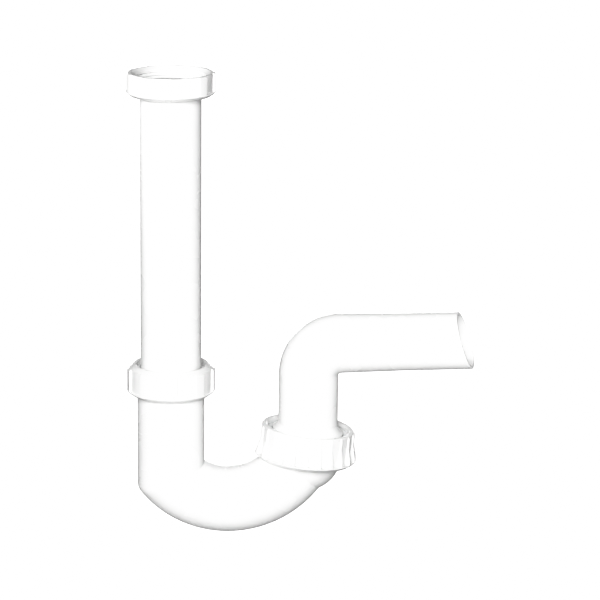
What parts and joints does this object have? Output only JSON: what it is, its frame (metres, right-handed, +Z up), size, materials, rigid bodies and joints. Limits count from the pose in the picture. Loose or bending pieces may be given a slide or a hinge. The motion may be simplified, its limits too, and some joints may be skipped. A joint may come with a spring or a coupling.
{
  "type": "tubular sink trap",
  "caption": "Tubular P-trap for a sink: telescopic inlet tube with union nut, U bend with a threaded outlet cup, and an elbow with a plain spigot.",
  "frame": {"origin": "on the inlet's axis, at the inner end of the inlet nut's thread, where the waste's tail seats", "axes": "+Z up along the inlet tube, +X towards the outlet spigot, the bend lies in the XZ plane"},
  "size_m": [0.2435, 0.0712, 0.3262],
  "materials": {
    "pipe_plastic": "glossy moulded polypropylene",
    "nut_plastic": "glossy moulded polypropylene, slightly softer sheen",
    "ring_plastic": "smooth polyethylene",
    "seal_rubber": "matt moulded rubber"
  },
  "bodies": {
    "inlet_tube": {"inlet_tube": "pipe_plastic", "inlet_washer": "seal_rubber"},
    "inlet_nut": {"inlet_nut": "nut_plastic"},
    "compression_seal": {"compression_seal": "seal_rubber"},
    "trap_bend": {"trap_bend": "pipe_plastic", "outlet_seal": "seal_rubber"},
    "compression_slip_ring": {"compression_slip_ring": "ring_plastic"},
    "compression_nut": {"compression_nut": "nut_plastic"},
    "outlet_elbow": {"outlet_elbow": "pipe_plastic"},
    "outlet_slip_ring": {"outlet_slip_ring": "ring_plastic"},
    "outlet_nut": {"outlet_nut": "nut_plastic"}
  },
  "joints": [
    {"name": "inlet_nut_turn", "type": "hinge", "parent": "inlet_tube", "child": "inlet_nut", "pos_m": [0, 0, 0], "axis": [0, 0, 1], "continuous": true},
    {"name": "telescope", "type": "slide", "parent": "inlet_tube", "child": "compression_seal", "axis": [0, 0, 1], "range_m": [-0.02, 0.014]},
    {"name": "bend_swivel", "type": "hinge", "parent": "compression_seal", "child": "trap_bend", "pos_m": [0, 0, -0.2036], "axis": [0, 0, 1], "continuous": true},
    {"name": "compression_lift", "type": "slide", "parent": "trap_bend", "child": "compression_slip_ring", "axis": [0, 0, 1], "range_m": [0, 0.01265]},
    {"name": "compression_turn", "type": "hinge", "parent": "compression_slip_ring", "child": "compression_nut", "pos_m": [0, 0, -0.1959], "axis": [0, 0, 1], "range_deg": [0, 1134]},
    {"name": "elbow_swing", "type": "hinge", "parent": "trap_bend", "child": "outlet_elbow", "pos_m": [0.09579, 0, -0.2447], "axis": [0.0993, 0, 0.9951], "range_deg": [-140, 140]},
    {"name": "outlet_lift", "type": "slide", "parent": "trap_bend", "child": "outlet_slip_ring", "axis": [0.0993, 0, 0.9951], "range_m": [0, 0.01245]},
    {"name": "outlet_turn", "type": "hinge", "parent": "outlet_slip_ring", "child": "outlet_nut", "pos_m": [0.09579, 0, -0.2447], "axis": [0.0993, 0, 0.9951], "range_deg": [0, 1116]}
  ],
  "couplings": [
    {"joint": "compression_lift", "follows": "compression_turn", "m_per_rad": 0.00063662},
    {"joint": "outlet_lift", "follows": "outlet_turn", "m_per_rad": 0.00063662}
  ]
}
